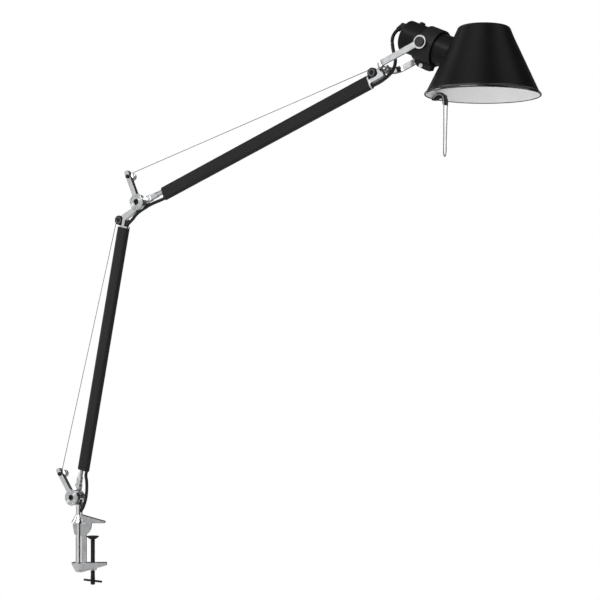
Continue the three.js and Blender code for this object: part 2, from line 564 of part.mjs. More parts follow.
// ---------- head ----------
function headRing(frame) {
  const band = alongX(ring([[HOUSING_R + GAP, -6], [RING_R, -6], [RING_R, RING_FRONT],
    [HOUSING_R + GAP, RING_FRONT]], 32));
  const saddle = alongX(ring([[HOUSING_R + GAP, -16], [RING_R, -16], [RING_R, 0],
    [HOUSING_R + GAP, 0]], 32));
  const upperHalf = block([-20, -40, 4], [-6, 40, 40]);
  const lug = plate(outline([[-14, -22], [-12.5, -32], [-5, -37], [13, -38], [RING_FRONT, -35],
    [RING_FRONT, -22]]), -6, 6);
  const bosses = [-1, 1].map((side) => bar([0, side * 22, 0], [0, side * (FORK_INSIDE - GAP), 0], 9.6, 20));
  const bore = bar([-30, 0, 0], [30, 0, 0], HOUSING_R + GAP, 32);
  const split = block([-20, -0.8, -45], [20, 0.8, -20]);
  const pinBore = bar([0, -40, 0], [0, 40, 0], 4.3, 14);
  const screwBore = bar([2.4, -10, -34], [2.4, 10, -34], 2.3, 12);
  const cutSaddle = shape([saddle], [upperHalf]);
  add(frame, 'head_ring', blackPlastic,
    shape([band, cutSaddle, lug, ...bosses], [bore, split, pinBore, screwBore]));
  for (const [name, side] of [['head_pin_front', -1], ['head_pin_rear', 1]]) {
    const face = side * (FORK_OUTSIDE + GAP);
    add(frame, name, blackPlastic, shape([
      bar([0, face, 0], [0, face + side * 2.6, 0], 8.25, 28, 7.6),
      bar([0, side * 26.2, 0], [0, face + side * 0.5, 0], 4, 20),
    ]));
  }
  add(frame, 'ring_screw', brightSteel, shape([
    bar([2.4, -8.4, -34], [2.4, -6.3, -34], 3.4, 20),
    bar([2.4, -6.5, -34], [2.4, 8, -34], 2, 12),
  ], [bar([2.4, -9, -34], [2.4, -7.4, -34], 1.5, 6)]));
}

function housing(frame) {
  const inner = HOUSING_R - HOUSING_WALL;
  const shell = alongX(ring([[inner, HOUSING_BACK], [HOUSING_R, HOUSING_BACK], [HOUSING_R, HOUSING_FRONT],
    [inner, HOUSING_FRONT]], 36));
  const buttonHole = bar([-26, 0, 15], [-26, 0, 30], 5.2, 20);
  add(frame, 'head_housing', blackPaint, shape([shell], [buttonHole]));

  const capBack = HOUSING_BACK - 3;
  const lid = alongX(turned([[0, capBack], [HOUSING_R - 1.5, capBack], [HOUSING_R, capBack + 1.2],
    [HOUSING_R, HOUSING_BACK - GAP], [inner - GAP, HOUSING_BACK - GAP], [inner - GAP, HOUSING_BACK + 5],
    [0, HOUSING_BACK + 5]], 36));
  const glandHole = bar([capBack - 2, 0, 12], [HOUSING_BACK + 8, 0, 12], 4.3, 14);
  add(frame, 'head_rear_cap', blackPlastic, shape([lid], [glandHole]));

  // the gland leaves the cap square and turns its mouth back and down to the cable
  add(frame, 'cable_gland', blackPlastic, shape([
    bar([capBack - GAP, 0, 12], [-61, 0, 12], 6, 14, 5),
    bar([HOUSING_BACK + 4, 0, 12], [capBack - 1, 0, 12], 4, 14),
    bar([-57, 0, 14], [-65, 0, 4], 4.9, 14, 3.9),
  ], [bar([-61, 0, 9], [-69, 0, -1], CABLE_R + GAP, 10)]));

  const button = turned([[0, 18], [4.9, 18], [4.9, 26.5], [4, 28.4], [0, 29]], 24).translate(-26, 0, 0);
  add(frame, 'switch_button', blackPlastic, button);

  add(frame, 'lamp_socket', whitePlastic, alongX(ring([[13.7, 24], [inner - GAP, 24], [inner - GAP, 30],
    [17.5, 32], [17.5, 56], [13.7, 56]], 20)));
  add(frame, 'bulb', opalGlass, alongX(turned([[0, 27], [12.8, 29], [13.3, 34], [13.3, 54], [12.6, 60],
    [15, 70], [20.5, 82], [22.5, 93], [21.5, 102], [17.5, 109.5], [10, 114.2], [0, 115.5]], 18)));
}

// the shade's outer wall, and the inner one a wall's thickness away
function shadeProfile() {
  const slope = Math.atan2(RIM_R - SHADE_TOP_R, SHADE_HEIGHT - 6);
  const inset = SHADE_WALL / Math.cos(slope);
  return [
    [RIM_R - 1.4, 0], [RIM_R, 0.8], [RIM_R, 2.4], [RIM_R - 1.8, 4],
    [SHADE_TOP_R, SHADE_HEIGHT - 6], [SHADE_TOP_R - 2.5, SHADE_HEIGHT - 2.2],
    [SHADE_TOP_R - 8, SHADE_HEIGHT], [1, SHADE_HEIGHT + 0.6], [1, SHADE_HEIGHT + 0.6 - SHADE_WALL],
    [SHADE_TOP_R - 8.5, SHADE_HEIGHT - SHADE_WALL], [SHADE_TOP_R - 3.6, SHADE_HEIGHT - 3.4],
    [SHADE_TOP_R - inset, SHADE_HEIGHT - 6.6], [RIM_R - 1.8 - inset, 4], [RIM_R - 3.2, 1],
  ];
}

function shade(headFrame) {
  const frame = new THREE.Group();
  frame.position.set(SHADE_X, 0, RIM_Z);
  frame.rotation.y = SHADE_TILT * DEG;
  stand.add(frame);
  const wall = ring(shadeProfile(), 40);
  const lid = bar([0, 0, SHADE_HEIGHT - 1.2], [0, 0, SHADE_HEIGHT + 0.55], 3, 24);
  const opening = bar([HOUSING_BACK, 0, 0], [HOUSING_FRONT + 20, 0, 0], HOUSING_R + GAP, 36);
  frame.updateMatrix();
  opening.applyMatrix4(headFrame.matrix).applyMatrix4(frame.matrix.clone().invert());
  add(frame, 'shade', blackPaint, shape([wall, lid], [opening]));

  const leg = (side) => [[HANDLE_X - 17.6, side * 5.7, 1.6], [HANDLE_X - 14.5, side * 5.8, 4.2],
    [HANDLE_X - 9, side * 5.9, 5.8], [HANDLE_X - 3, side * 5.9, 3.4], [HANDLE_X - 0.4, side * 5.9, -4],
    [HANDLE_X, side * 5.6, -20], [HANDLE_X + 0.2, side * 4.2, -60],
    [HANDLE_X + 0.3, side * 3.4, HANDLE_TIP_Z + 5]];
  const hairpin = smooth([...leg(-1), [HANDLE_X + 0.3, 0, HANDLE_TIP_Z + 1], ...leg(1).reverse()]);
  add(frame, 'handle_wire', polished, tube(hairpin, 1, 5, 50));
  const clip = outline([[-22.5, -0.6], [-22.5, -2.4], [-15.6, -2.4], [-12, 0.4], [-8.5, 1.4], [-5.5, -0.4],
    [-3.4, -5], [-3, -10.5], [2.4, -10.5], [2.4, -4], [0, 4.6], [-6, 8.8], [-12, 9.2], [-14.6, 7.4],
    [-18.2, 1.6], [-18.6, -0.6]].map(([x, z]) => [HANDLE_X + x, z]));
  add(frame, 'handle_clip', blackPlastic, plate(clip, -4.6, 4.6));
}

// ---------- cable where it crosses the joints ----------
function cableLoops(lowerFrame, upperFrame, headFrame) {
  const base = smooth([
    armPoint(lowerFrame, TUBE_START + 0.7, CABLE_Z), armPoint(lowerFrame, TUBE_START - 8, CABLE_Z),
    [-14.6, 0, 76], [-14.4, 0, 60.2], [-16.4, 0, 45.7], [-19.9, 0, 34.8], [-24.6, 0, 25.8],
    [-27.4, 0, 22.6],
  ]);
  add(stand, 'cable_base_loop', blackCable, tube(base, CABLE_R, 8, 16));
  const elbow = smooth([
    armPoint(lowerFrame, TUBE_END + 1.3, CABLE_Z), armPoint(lowerFrame, TUBE_END + 6, CABLE_Z),
    [90.8, 0, 542.2], [99.7, 0, 550.7], [114.6, 0, 559], [131.5, 0, 566.2],
    armPoint(upperFrame, TUBE_START - 6, CABLE_Z), armPoint(upperFrame, TUBE_START + 0.7, CABLE_Z),
  ]);
  add(stand, 'cable_elbow_loop', blackCable, tube(elbow, CABLE_R, 8, 15));
  const head = smooth([
    armPoint(upperFrame, TUBE_END + 1.3, CABLE_Z), armPoint(upperFrame, TUBE_END + 9, CABLE_Z - 0.4),
    [593.5, 0, 738.2], [604, 0, 743.8], [613.6, 0, 750.8], [619.8, 0, 759.4], [621.9, 0, 769],
    [620.4, 0, 779], [617.8, 0, 788], [616.3, 0, 797.9],
  ]);
  add(stand, 'cable_head_loop', blackCable, tube(head, CABLE_R, 8, 20));
  const tail = smooth([
    [616, 0, 798.8], [616.4, 0, 804], [618.3, 0, 810], [622.4, 0, 815.2], armPoint(headFrame, -65, 4),
    armPoint(headFrame, -62.5, 7.1),
  ]);
  add(stand, 'cable_head_tail', blackCable, tube(tail, CABLE_R, 8, 10));
}

// ---------- the lamp ----------
clampJaws();
clampColumn();
clampScrew();
swivelPost();
const lowerFrame = lowerArm();
const upperFrame = upperArm(lowerFrame);
const headFrame = new THREE.Group();
headFrame.position.set(...armPoint(upperFrame, ...HEAD_LOCAL));
headFrame.rotation.y = -HEAD_ANGLE * DEG;
headFrame.updateMatrix();
stand.add(headFrame);
headRing(headFrame);
housing(headFrame);
shade(headFrame);
cableLoops(lowerFrame, upperFrame, headFrame);

export default lamp;
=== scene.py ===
# Looks of the clamp-on desk lamp. Lengths are in millimetres in the pieces' own frames,
# and become metres in the row frame when a piece is made.
import json
import math

import bmesh
import bpy
from mathutils import Matrix, Vector

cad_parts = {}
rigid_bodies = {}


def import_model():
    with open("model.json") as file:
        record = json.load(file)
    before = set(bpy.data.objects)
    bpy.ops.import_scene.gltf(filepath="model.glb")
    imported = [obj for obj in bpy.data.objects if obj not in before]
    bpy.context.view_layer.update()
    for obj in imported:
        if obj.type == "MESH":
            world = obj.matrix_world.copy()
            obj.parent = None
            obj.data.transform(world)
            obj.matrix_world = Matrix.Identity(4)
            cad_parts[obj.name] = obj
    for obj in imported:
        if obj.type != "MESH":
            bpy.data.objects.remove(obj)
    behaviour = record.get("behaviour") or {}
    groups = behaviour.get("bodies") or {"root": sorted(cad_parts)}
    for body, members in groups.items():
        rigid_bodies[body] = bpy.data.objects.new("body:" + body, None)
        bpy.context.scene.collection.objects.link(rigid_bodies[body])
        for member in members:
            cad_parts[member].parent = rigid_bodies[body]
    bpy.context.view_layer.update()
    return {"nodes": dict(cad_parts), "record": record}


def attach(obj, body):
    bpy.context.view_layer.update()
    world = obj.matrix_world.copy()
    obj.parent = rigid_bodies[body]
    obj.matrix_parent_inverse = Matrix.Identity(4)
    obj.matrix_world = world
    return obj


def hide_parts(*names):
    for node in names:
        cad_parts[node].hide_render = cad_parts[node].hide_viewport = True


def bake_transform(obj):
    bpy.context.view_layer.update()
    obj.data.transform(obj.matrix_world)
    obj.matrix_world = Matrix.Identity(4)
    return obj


for stray in list(bpy.data.objects):
    bpy.data.objects.remove(stray)

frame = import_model()
NODES = frame["nodes"]
BODY_OF = {n: b for b, ns in frame["record"]["behaviour"]["bodies"].items() for n in ns}
SLOT_OF = {s["node"]: s["material_slot"] for s in frame["record"]["subparts"]}

# ---------- sizes, as in the CAD part ----------
MM = 0.001

# the clamp, with the post's place along it and along the arms' plane
CLAMP_TURN = math.radians(33)
CLAMP_POST = -24.5
POST_X = -32

# the clamp's screw, its thread and its tommy bar
SCREW_R = 4.0
SCREW_NECK_R = 2.4
SCREW_FOOT = -111
SCREW_SHOULDER = -31.3
SCREW_TOP = -26.8
THREAD_PITCH = 1.25
THREAD_DEPTH = 0.42
THREAD_BOTTOM = -97
THREAD_TOP = -32
THREAD_SIDES = 24
THREAD_ROWS_PER_TURN = 6
THREAD_FADE_ROWS = 10
BAR_TURN = math.radians(-39)
BAR_HALF = 22.5
BAR_R = 2
BAR_Z = -104

# the joints and the arms: axes, angles from the level, levers, discs and drums
SHOULDER = (-38.7, 46.4)
LOWER_ANGLE = 77.9
UPPER_ANGLE = 20.7
HEAD_ANGLE = -24.5
ELBOW_LOCAL = (543.5, -35.4)
HEAD_LOCAL = (613.8, 0.5)
LEVER = 50.3
SHOULDER_LEVER_ANGLE = 124.5
ELBOW_LEVER_ANGLE = 36
DISC_R = 14.5
DISC_FRONT = -15.2
DISC_BACK = -12.9
DISC_GROOVES = 4
GROOVE_START = 7.0
GROOVE_PITCH = 1.75
GROOVE_DEPTH = 0.22
DRUM_R = 6.7

# the arms' tubes, cables, pulleys and tension wires
TUBE_START = 51.5
TUBE_END = 494.0
TUBE_Z = -5.9
TUBE_WIDTH = 24.4
TUBE_THICK = 10.8
TUBE_WALL = 0.9
TUBE_ROUND_STEPS = 12
TUBE_EDGE = 0.4
TUBE_EDGE_INSET = 0.35
CABLE_Z = TUBE_Z - 7.6
CABLE_R = 2.8
CABLE_STEPS = 48
PULLEY = (505.3, 5.3)
PULLEY_HALF = 5.3
WIRE_R = 0.6
WIRE_TURN_R = 7.3

# the head: shade, housing and handle
SHADE_X = 776
RIM_Z = 700.9
SHADE_TILT = 1.3
RIM_R = 90
SHADE_TOP_R = 41
SHADE_HEIGHT = 106
SHADE_WALL = 1.0
BEAD_TOP = 6.3
CONE_START = 6.4
CONE_STEPS = 8
CROWN_R = 7.6
LINING_GAP = 0.05
LINING_THICK = 0.35
HOUSING_R = 25.5
HOUSING_GAP = 0.3
HOUSING_CUT = (-42, 78)
HANDLE_X = -64.2
HANDLE_TIP_Z = -91.6
HANDLE_R = 1.0

# ---------- camera and stage, in metres ----------
CAMERA_PLACE = (1.92965, -2.30454, 0.2957)
CAMERA_AZIMUTH = math.radians(32.8)
CAMERA_LENS = 99.24
CAMERA_SHIFT_Y = 0.0983
FLOOR_Z = -1.1
FLOOR_R = 3.2
FLOOR_SIDES = 64


# the clamp is drawn in the row frame, and all above it in the frame of the arms' plane
ROW = Matrix.Scale(MM, 4)
STAND = Matrix.Translation((MM * (CLAMP_POST * math.cos(CLAMP_TURN) - POST_X),
                            MM * CLAMP_POST * math.sin(CLAMP_TURN), 0)) @ ROW


def place(origin, angle=0.0):
    turn = Matrix.Rotation(-math.radians(angle), 4, "Y")
    return STAND @ Matrix.Translation((origin[0], 0, origin[1])) @ turn


def in_stand(matrix, x, z):
    point = STAND.inverted() @ matrix @ Vector((x, 0, z))
    return point.x, point.z


AT_SHOULDER = place(SHOULDER)
LOWER = place(SHOULDER, LOWER_ANGLE)
ELBOW = in_stand(LOWER, *ELBOW_LOCAL)
AT_ELBOW = place(ELBOW, LOWER_ANGLE)
UPPER = place(ELBOW, UPPER_ANGLE)
HEAD = place(in_stand(UPPER, *HEAD_LOCAL), HEAD_ANGLE)
SHADE = place((SHADE_X, RIM_Z), -SHADE_TILT)


# ---------- materials ----------
class Surface:
    """A principled material whose colour, gloss and relief come from procedural textures."""

    def __init__(self, name, colour, roughness, metallic=0.0):
        self.material = bpy.data.materials.new(name)
        self.material.use_nodes = True
        self.tree = self.material.node_tree
        self.shader = self.tree.nodes["Principled BSDF"]
        self.shader.inputs["Base Color"].default_value = (*colour, 1)
        self.shader.inputs["Roughness"].default_value = roughness
        self.shader.inputs["Metallic"].default_value = metallic
        self.colour = colour
        self.position = self.tree.nodes.new("ShaderNodeTexCoord").outputs["Object"]

    def link(self, source, node, socket):
        self.tree.links.new(source, node.inputs[socket])

    def stretched(self, scale, angle):
        """The position with what is drawn on it stretched along X, turned about Y."""
        node = self.tree.nodes.new("ShaderNodeMapping")
        node.vector_type = "TEXTURE"
        node.inputs["Rotation"].default_value = (0, math.radians(angle), 0)
        node.inputs["Scale"].default_value = scale
        self.link(self.position, node, "Vector")
        return node.outputs["Vector"]

    def noise(self, scale, detail=3.0, where=None):
        node = self.tree.nodes.new("ShaderNodeTexNoise")
        node.inputs["Scale"].default_value = scale
        node.inputs["Detail"].default_value = detail
        self.link(where or self.position, node, "Vector")
        return node.outputs["Fac"]

    def vary_gloss(self, value, low, high):
        """Roughness goes from low to high over the middle of the noise's range."""
        node = self.tree.nodes.new("ShaderNodeMapRange")
        spans = {"From Min": 0.3, "From Max": 0.7, "To Min": low, "To Max": high}
        for socket, number in spans.items():
            node.inputs[socket].default_value = number
        self.link(value, node, "Value")
        self.link(node.outputs["Result"], self.shader, "Roughness")

    def vary_colour(self, value, other):
        """Colour goes from the surface's own to the other over the middle of the noise's range."""
        ramp = self.tree.nodes.new("ShaderNodeValToRGB")
        stops = ((0.35, self.colour), (0.65, other))
        for element, (position, colour) in zip(ramp.color_ramp.elements, stops):
            element.position = position
            element.color = (*colour, 1)
        self.link(value, ramp, "Fac")
        self.link(ramp.outputs["Color"], self.shader, "Base Color")

    def relief(self, value, strength, distance):
        node = self.tree.nodes.new("ShaderNodeBump")
        node.inputs["Strength"].default_value = strength
        node.inputs["Distance"].default_value = distance
        self.link(value, node, "Height")
        self.link(node.outputs["Normal"], self.shader, "Normal")


def make_materials():
    made = {}

    polished = Surface("polished_aluminium", (0.80, 0.81, 0.82), 0.16, 1)
    polished.vary_colour(polished.noise(35), (0.70, 0.71, 0.725))
    polished.vary_gloss(polished.noise(160, 5), 0.10, 0.24)
    polished.relief(polished.noise(110, 1), 0.5, 0.0008)
    made["polished_aluminium"] = polished

    machined = Surface("machined_aluminium", (0.66, 0.665, 0.67), 0.3, 1)
    machined.vary_colour(machined.noise(90), (0.56, 0.565, 0.575))
    machined.vary_gloss(machined.noise(300, 5), 0.24, 0.40)
    machined.relief(machined.noise(900, 4), 0.1, 0.0003)
    made["machined_aluminium"] = machined

    chromed = Surface("chromed_wire", (0.46, 0.465, 0.47), 0.30, 1)
    chromed.vary_gloss(chromed.noise(200, 3), 0.24, 0.36)
    made["chromed_wire"] = chromed

    steel = Surface("bright_steel", (0.68, 0.685, 0.69), 0.22, 1)
    steel.vary_gloss(steel.noise(250, 4), 0.16, 0.32)
    steel.relief(steel.noise(700, 4), 0.08, 0.0003)
    made["bright_steel"] = steel

    spring = Surface("spring_steel", (0.26, 0.26, 0.27), 0.38, 1)
    spring.vary_gloss(spring.noise(300, 4), 0.28, 0.45)
    made["spring_steel"] = spring

    for name, angle in (("lower", LOWER_ANGLE), ("upper", UPPER_ANGLE)):
        tube = Surface(f"black_anodised_{name}", (0.0105, 0.0108, 0.0115), 0.42, 0.2)
        grain = tube.stretched((1, 0.02, 0.02), -angle)
        tube.vary_colour(tube.noise(14, 4, grain), (0.0145, 0.0148, 0.0155))
        tube.shader.inputs["Specular IOR Level"].default_value = 0.3
        tube.vary_gloss(tube.noise(30, 5, grain), 0.36, 0.50)
        tube.relief(tube.noise(45, 4, grain), 0.05, 0.0003)
        made[f"anodised_{name}"] = tube

    paint = Surface("black_paint", (0.0042, 0.0044, 0.0050), 0.34)
    paint.shader.inputs["Specular IOR Level"].default_value = 0.15
    paint.vary_colour(paint.noise(12), (0.0066, 0.0068, 0.0076))
    paint.vary_gloss(paint.noise(240, 5), 0.30, 0.40)
    paint.relief(paint.noise(1500, 3), 0.12, 0.00012)
    made["black_paint"] = paint

    bead = Surface("rim_bead", (0.0060, 0.0062, 0.0068), 0.16)
    bead.shader.inputs["Specular IOR Level"].default_value = 1.0
    bead.vary_gloss(bead.noise(240, 4), 0.12, 0.22)
    made["rim_bead"] = bead

    lining = Surface("white_lining", (0.84, 0.84, 0.845), 0.5)
    lining.vary_colour(lining.noise(20), (0.80, 0.80, 0.805))
    lining.vary_gloss(lining.noise(300, 4), 0.42, 0.56)
    lining.relief(lining.noise(1500, 3), 0.08, 0.0001)
    made["white_lining"] = lining

    plastic = Surface("black_plastic", (0.0070, 0.0070, 0.0076), 0.5)
    plastic.shader.inputs["Specular IOR Level"].default_value = 0.25
    plastic.vary_colour(plastic.noise(60), (0.0105, 0.0105, 0.0112))
    plastic.vary_gloss(plastic.noise(350, 5), 0.42, 0.60)
    plastic.relief(plastic.noise(1100, 4), 0.15, 0.00018)
    made["black_plastic"] = plastic

    faced = Surface("pulley_face", (0.085, 0.085, 0.088), 0.45)
    faced.vary_colour(faced.noise(80), (0.11, 0.11, 0.114))
    faced.vary_gloss(faced.noise(300, 4), 0.38, 0.55)
    made["pulley_face"] = faced

    grained = Surface("grained_knob", (0.020, 0.020, 0.021), 0.6)
    grained.vary_gloss(grained.noise(500, 4), 0.5, 0.7)
    grained.relief(grained.noise(1400, 5), 0.5, 0.0004)
    made["grained_knob"] = grained

    oxide = Surface("black_steel", (0.0075, 0.0075, 0.0080), 0.42, 0.2)
    oxide.shader.inputs["Specular IOR Level"].default_value = 0.3
    oxide.vary_colour(oxide.noise(120), (0.0115, 0.0115, 0.0120))
    oxide.vary_gloss(oxide.noise(500, 4), 0.30, 0.48)
    oxide.relief(oxide.noise(900, 4), 0.12, 0.0002)
    made["black_steel"] = oxide

    cable = Surface("black_cable", (0.0075, 0.0075, 0.0080), 0.45)
    cable.shader.inputs["Specular IOR Level"].default_value = 0.35
    cable.vary_gloss(cable.noise(300, 4), 0.38, 0.55)
    cable.relief(cable.noise(900, 3), 0.1, 0.0002)
    made["black_cable"] = cable

    holder = Surface("white_plastic", (0.76, 0.75, 0.72), 0.35)
    holder.vary_gloss(holder.noise(200, 4), 0.28, 0.45)
    made["white_plastic"] = holder

    glass = Surface("opal_glass", (0.86, 0.85, 0.82), 0.18)
    glass.vary_colour(glass.noise(40), (0.82, 0.81, 0.775))
    glass.vary_gloss(glass.noise(120, 3), 0.14, 0.22)
    made["opal_glass"] = glass
    return {name: surface.material for name, surface in made.items()}


MATERIALS = make_materials()


# ---------- mesh building ----------
def closed_loops(loops):
    """Side faces between rings of the same count, and a face on the first and the last ring."""
    count = len(loops[0])
    vertices = [p for loop in loops for p in loop]
    faces = [tuple(reversed(range(count)))]
    for i in range(len(loops) - 1):
        for j in range(count):
            k = (j + 1) % count
            a, b = i * count, (i + 1) * count
            faces.append((a + j, a + k, b + k, b + j))
    faces.append(tuple((len(loops) - 1) * count + j for j in range(count)))
    return vertices, faces


def ring(radii, z):
    """Points evenly round the Z axis, one at each radius."""
    angles = [2 * math.pi * i / len(radii) for i in range(len(radii))]
    return [(r * math.cos(angle), r * math.sin(angle), z) for r, angle in zip(radii, angles)]


def lathe(profile, sides, axis="Z"):
    """Turns (radius, height) pairs about an axis. A profile that doesn't start on the axis is closed."""
    turn = {
        "Z": lambda r, h, c, s: (r * c, r * s, h),
        "X": lambda r, h, c, s: (h, r * s, -r * c),
        "Y": lambda r, h, c, s: (r * c, h, -r * s),
    }[axis]
    closed = profile[0][0] > 0
    vertices, rows, faces = [], [], []
    for radius, height in profile:
        if radius == 0:
            rows.append([len(vertices)] * sides)
            vertices.append(turn(0, height, 1, 0))
            continue
        rows.append(list(range(len(vertices), len(vertices) + sides)))
        for i in range(sides):
            angle = 2 * math.pi * i / sides
            vertices.append(turn(radius, height, math.cos(angle), math.sin(angle)))
    steps = list(zip(rows, rows[1:])) + ([(rows[-1], rows[0])] if closed else [])
    for low, high in steps:
        for i in range(sides):
            j = (i + 1) % sides
            corners = (low[i], low[j], high[j], high[i])
            face = tuple(dict.fromkeys(corners))
            if len(face) > 2:
                faces.append(face)
    return vertices, faces


def between(a, b, start, end, t):
    """The point at t on the line that is at a when t is start, and at b when it is end."""
    return a * ((end - t) / (end - start)) + b * ((t - start) / (end - start))


def catmull(points, steps):
    """Points along a smooth curve through the given ones: a centripetal Catmull-Rom spline."""
    points = [Vector(p) for p in points]
    points = [2 * points[0] - points[1], *points, 2 * points[-1] - points[-2]]
    knots = [0.0]
    for a, b in zip(points, points[1:]):
        knots.append(knots[-1] + (b - a).length ** 0.5)
    path = []
    spans = len(points) - 3
    for i in range(steps + 1):
        t = knots[1] + (knots[-2] - knots[1]) * i / steps
        k = next((n for n in range(1, spans + 1) if t <= knots[n + 1]), spans)
        p, q = points[k - 1 : k + 3], knots[k - 1 : k + 3]
        a = [between(p[n], p[n + 1], q[n], q[n + 1], t) for n in range(3)]
        b = [between(a[n], a[n + 1], q[n], q[n + 2], t) for n in range(2)]
        path.append(between(b[0], b[1], q[1], q[2], t))
    return path


def sweep(path, radius, sides):
    """A round rod along a path."""
    path = [Vector(p) for p in path]
    side = Vector((0, 1, 0))
    loops = []
    for i, point in enumerate(path):
        along = (path[min(i + 1, len(path) - 1)] - path[max(i - 1, 0)]).normalized()
        side = (side - along * side.dot(along)).normalized()
        up = along.cross(side)
        loop = []
        for j in range(sides):
            angle = 2 * math.pi * j / sides
            loop.append(point + side * radius * math.cos(angle) + up * radius * math.sin(angle))
        loops.append(loop)
    return closed_loops(loops)


def mesh_object(name, vertices, faces, matrix):
    mesh = bpy.data.meshes.new(name)
    mesh.from_pydata([matrix @ Vector(v) for v in vertices], [], faces)
    work = bmesh.new()
    work.from_mesh(mesh)
    bmesh.ops.recalc_face_normals(work, faces=work.faces)
    work.to_mesh(mesh)
    work.free()
    mesh.polygons.foreach_set("use_smooth", [True] * len(mesh.polygons))
    obj = bpy.data.objects.new(name, mesh)
    bpy.context.scene.collection.objects.link(obj)
    return obj


def keep_flat(obj):
    """Keeps flat faces flat beside rounded edges."""
    even = obj.modifiers.new("even", "WEIGHTED_NORMAL")
    even.keep_sharp = True


def soften(obj, width, limit=32):
    """Rounds the edges sharper than the limit."""
    bevel = obj.modifiers.new("edges", "BEVEL")
    bevel.width = width * MM
    bevel.segments = 2
    bevel.limit_method = "ANGLE"
    bevel.angle_limit = math.radians(limit)
    bevel.use_clamp_overlap = True
    keep_flat(obj)


def apply_modifiers(obj):
    bpy.context.view_layer.update()
    evaluated = obj.evaluated_get(bpy.context.evaluated_depsgraph_get())
    mesh = bpy.data.meshes.new_from_object(evaluated)
    obj.modifiers.clear()
    obj.data = mesh


def cut(obj, tool):
    knife = obj.modifiers.new("cut", "BOOLEAN")
    knife.operation = "DIFFERENCE"
    knife.object = tool
    knife.solver = "EXACT"
    apply_modifiers(obj)
    bpy.data.objects.remove(tool)


def coat(obj, name):
    obj.data.materials.clear()
    obj.data.materials.append(MATERIALS[name])


def stand_for(obj, node, material=None, bends=False):
    """The piece takes the material named by the node's slot, or the one given, and hides the node; it joins
    the node's body unless bends is set.
    """
    coat(obj, material or SLOT_OF[node])
    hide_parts(node)
    if not bends:
        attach(obj, BODY_OF[node])


def refined(node, width, material=None):
    """The node's own shape with merged faces, rounded edges and smooth sides."""
    same_point = 2e-6
    same_plane = 0.008
    work = bmesh.new()
    work.from_mesh(NODES[node].data)
    bmesh.ops.remove_doubles(work, verts=work.verts, dist=same_point)
    bmesh.ops.dissolve_limit(work, angle_limit=same_plane, verts=work.verts, edges=work.edges)
    work.verts.index_update()
    vertices = [v.co.copy() for v in work.verts]
    faces = [tuple(v.index for v in f.verts) for f in work.faces]
    work.free()
    obj = mesh_object(f"{node}_shown", vertices, faces, Matrix.Identity(4))
    soften(obj, width)
    stand_for(obj, node, material)


# ---------- clamp ----------
def clamp_screw():
    """The screw, with its thread winding down from below the pad to just above the foot."""
    def plain(*steps):
        return [ring([radius] * THREAD_SIDES, z) for radius, z in steps]

    rows = int((THREAD_TOP - THREAD_BOTTOM) / THREAD_PITCH * THREAD_ROWS_PER_TURN)
    loops = plain((3.0, SCREW_FOOT), (3.3, SCREW_FOOT + 0.2), (SCREW_R, SCREW_FOOT + 1),
                  (SCREW_R, THREAD_BOTTOM - 1))
    for row in range(rows + 1):
        # the thread's depth fades out at both ends
        depth = THREAD_DEPTH * min(1.0, row / THREAD_FADE_ROWS, (rows - row) / THREAD_FADE_ROWS)
        radii = []
        for i in range(THREAD_SIDES):
            phase = (row / THREAD_ROWS_PER_TURN - i / THREAD_SIDES) % 1
            radii.append(SCREW_R - depth * abs(2 * phase - 1))
        loops.append(ring(radii, THREAD_BOTTOM + (THREAD_TOP - THREAD_BOTTOM) * row / rows))
    loops += plain((SCREW_R, SCREW_SHOULDER), (SCREW_NECK_R, SCREW_SHOULDER + 1.4), (SCREW_NECK_R, SCREW_TOP))
    screw = mesh_object("clamp_screw_shown", *closed_loops(loops), ROW)
    soften(screw, 0.15, 50)
    stand_for(screw, "clamp_screw")


def tommy_bar():
    end = [(0, BAR_HALF), (BAR_R - 0.7, BAR_HALF), (BAR_R - 0.1, BAR_HALF - 0.4), (BAR_R, BAR_HALF - 1.2)]
    rod = [(radius, -x) for radius, x in end] + end[::-1]
    across = Matrix.Translation((0, 0, BAR_Z * MM)) @ Matrix.Rotation(CLAMP_TURN + BAR_TURN, 4, "Z") @ ROW
    bar = mesh_object("clamp_tommy_bar_shown", *lathe(rod, 24, "X"), across)
    soften(bar, 0.1, 40)
    stand_for(bar, "clamp_tommy_bar")


def clamp():
    refined("clamp_upper_jaw", 0.6)
    refined("clamp_lower_jaw", 0.6)
    refined("clamp_column", 0.35)
    refined("clamp_tie_bolt", 0.2)
    refined("clamp_thread_insert", 0.2)
    refined("clamp_pad", 0.4)
    refined("post_bushing", 0.2)
    clamp_screw()
    tommy_bar()


# ---------- joints with their machined discs and wire drums ----------
def joint(name, matrix):
    bore = 5.3
    face = [(bore, DISC_BACK), (bore, DISC_FRONT + 0.2), (bore + 0.3, DISC_FRONT)]
    # concentric grooves are turned into the disc's face
    for i in range(DISC_GROOVES):
        radius = GROOVE_START + GROOVE_PITCH * i
        bottom = DISC_FRONT + GROOVE_DEPTH
        face += [(radius, DISC_FRONT), (radius + 0.25, bottom), (radius + 0.6, bottom),
                 (radius + 0.85, DISC_FRONT)]
    face += [(DISC_R - 0.7, DISC_FRONT), (DISC_R - 0.2, DISC_FRONT + 0.25), (DISC_R, DISC_FRONT + 0.8),
             (DISC_R, DISC_BACK)]
    disc = mesh_object(f"{name}_disc_shown", *lathe(face, 64, "Y"), matrix)
    soften(disc, 0.06, 25)
    stand_for(disc, f"{name}_disc", "machined_aluminium")
    refined(f"{name}_pivot_bolt", 0.25, "black_steel")
    refined(f"{name}_pivot_nut", 0.3)
    refined(f"{name}_wire_drum", 0.2)
    refined(f"{name}_wire_pin", 0.4)


